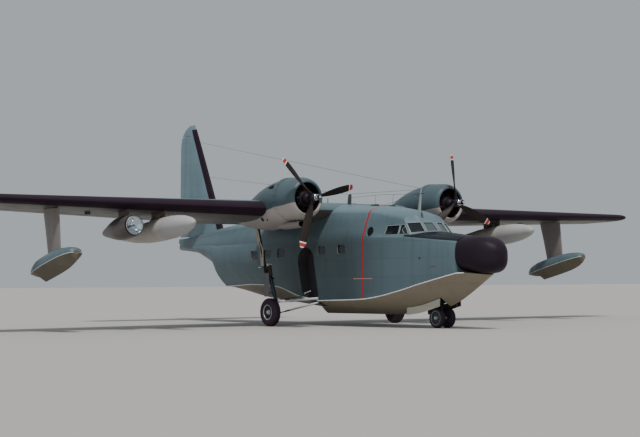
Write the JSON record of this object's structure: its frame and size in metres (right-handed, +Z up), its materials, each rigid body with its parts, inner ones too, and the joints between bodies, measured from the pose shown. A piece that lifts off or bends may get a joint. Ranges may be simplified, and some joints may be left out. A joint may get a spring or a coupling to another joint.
{
  "type": "flying boat",
  "caption": "Twin-engined amphibious flying boat standing on its wheels: stepped hull, high wing with floats, turning propellers, steered nose wheels, moving tail surfaces.",
  "frame": {"origin": "middle of the aircraft's length and span, on the ground under the wheels", "axes": "+X forward to the nose, +Y to the port side, +Z up"},
  "size_m": [19.2, 29.46, 7.87],
  "materials": {
    "hull_paint": "satin",
    "wing_paint": "satin",
    "underside_paint": "satin",
    "control_surface": "satin",
    "glazing": "gloss",
    "radome_black": "satin",
    "engine_metal": "satin",
    "propeller_black": "satin",
    "gear_metal": "satin",
    "rim_metal": "satin",
    "tyre": "matt",
    "seat": "matt",
    "cockpit_black": "matt",
    "lamp_glass": "gloss"
  },
  "bodies": {
    "airframe": {"hull": "hull_paint", "cockpit_roof": "hull_paint", "fin": "hull_paint", "nacelle_left": "hull_paint", "nacelle_right": "hull_paint", "cowling_left": "hull_paint", "cowling_right": "hull_paint", "wing_centre": "wing_paint", "wing_panel_left": "wing_paint", "wing_panel_right": "wing_paint", "tailplane_left": "wing_paint", "tailplane_right": "wing_paint", "float_left": "underside_paint", "float_right": "underside_paint", "float_pylon_left": "underside_paint", "float_pylon_right": "underside_paint", "drop_tank_left": "underside_paint", "drop_tank_right": "underside_paint", "searchlight_pod": "underside_paint", "nose_door_left": "underside_paint", "nose_door_right": "underside_paint", "cockpit_glass": "glazing", "radome": "radome_black", "engine_left": "engine_metal", "engine_right": "engine_metal", "main_gear_left": "gear_metal", "main_gear_right": "gear_metal", "nose_leg": "gear_metal", "antenna_mast": "gear_metal", "seat_left": "seat", "seat_right": "seat", "instrument_panel": "cockpit_black", "searchlight_glass": "lamp_glass"},
    "propeller_left": {"propeller_left": "propeller_black"},
    "propeller_right": {"propeller_right": "propeller_black"},
    "main_wheel_left": {"main_tyre_left": "tyre", "main_rim_left": "rim_metal"},
    "main_wheel_right": {"main_tyre_right": "tyre", "main_rim_right": "rim_metal"},
    "nose_fork": {"nose_fork": "gear_metal"},
    "nose_wheels": {"nose_tyre_left": "tyre", "nose_tyre_right": "tyre", "nose_rim_left": "rim_metal", "nose_rim_right": "rim_metal"},
    "rudder": {"rudder": "control_surface"},
    "elevator_left": {"elevator_left": "control_surface"},
    "elevator_right": {"elevator_right": "control_surface"},
    "aileron_left": {"aileron_left": "control_surface"},
    "aileron_right": {"aileron_right": "control_surface"},
    "flap_left": {"flap_left": "control_surface"},
    "flap_right": {"flap_right": "control_surface"},
    "cabin_door": {"cabin_door": "hull_paint"}
  },
  "joints": [
    {"name": "propeller_left_spin", "type": "hinge", "parent": "airframe", "child": "propeller_left", "pos_m": [4.04, 3.03, 4.18], "axis": [1, 0, 0], "continuous": true},
    {"name": "main_wheel_left_spin", "type": "hinge", "parent": "airframe", "child": "main_wheel_left", "pos_m": [1.04, 2.69, 0.475], "axis": [0, 1, 0], "continuous": true},
    {"name": "propeller_right_spin", "type": "hinge", "parent": "airframe", "child": "propeller_right", "pos_m": [4.04, -3.03, 4.18], "axis": [1, 0, 0], "continuous": true},
    {"name": "main_wheel_right_spin", "type": "hinge", "parent": "airframe", "child": "main_wheel_right", "pos_m": [1.04, -2.69, 0.475], "axis": [0, 1, 0], "continuous": true},
    {"name": "nose_steering", "type": "hinge", "parent": "airframe", "child": "nose_fork", "pos_m": [6.74, 0, 0.5], "axis": [0, 0, 1], "range_deg": [-50, 50]},
    {"name": "nose_wheels_spin", "type": "hinge", "parent": "nose_fork", "child": "nose_wheels", "pos_m": [6.78, 0, 0.32], "axis": [0, 1, 0], "continuous": true},
    {"name": "rudder_hinge", "type": "hinge", "parent": "airframe", "child": "rudder", "pos_m": [-8.68, 0, 5.4], "axis": [0, 0, 1], "range_deg": [-27, 27]},
    {"name": "elevator_left_hinge", "type": "hinge", "parent": "airframe", "child": "elevator_left", "pos_m": [-8.36, 2.4, 4.45], "axis": [0, -1, 0], "range_deg": [-30, 20]},
    {"name": "elevator_right_hinge", "type": "hinge", "parent": "airframe", "child": "elevator_right", "pos_m": [-8.36, -2.4, 4.45], "axis": [0, -1, 0], "range_deg": [-30, 20]},
    {"name": "flap_left_hinge", "type": "hinge", "parent": "airframe", "child": "flap_left", "pos_m": [-0.82413, 3.98, 3.7092], "axis": [-0.0768, -0.9968, -0.0211], "range_deg": [0, 40]},
    {"name": "aileron_left_hinge", "type": "hinge", "parent": "airframe", "child": "aileron_left", "pos_m": [-0.45271, 8.8, 3.81115], "axis": [-0.0768, -0.9968, -0.0211], "range_deg": [-20, 20]},
    {"name": "flap_right_hinge", "type": "hinge", "parent": "airframe", "child": "flap_right", "pos_m": [-0.82413, -3.98, 3.7092], "axis": [0.0768, -0.9968, 0.0211], "range_deg": [0, 40]},
    {"name": "aileron_right_hinge", "type": "hinge", "parent": "airframe", "child": "aileron_right", "pos_m": [-0.45271, -8.8, 3.81115], "axis": [0.0768, -0.9968, 0.0211], "range_deg": [-20, 20]},
    {"name": "cabin_door_hinge", "type": "hinge", "parent": "airframe", "child": "cabin_door", "pos_m": [-3.002, 1.065, 2.3], "axis": [0, 0, -1], "range_deg": [0, 100]}
  ],
  "couplings": [
    {"joint": "elevator_right_hinge", "follows": "elevator_left_hinge", "ratio": 1},
    {"joint": "flap_right_hinge", "follows": "flap_left_hinge", "ratio": 1},
    {"joint": "aileron_right_hinge", "follows": "aileron_left_hinge", "ratio": -1}
  ]
}
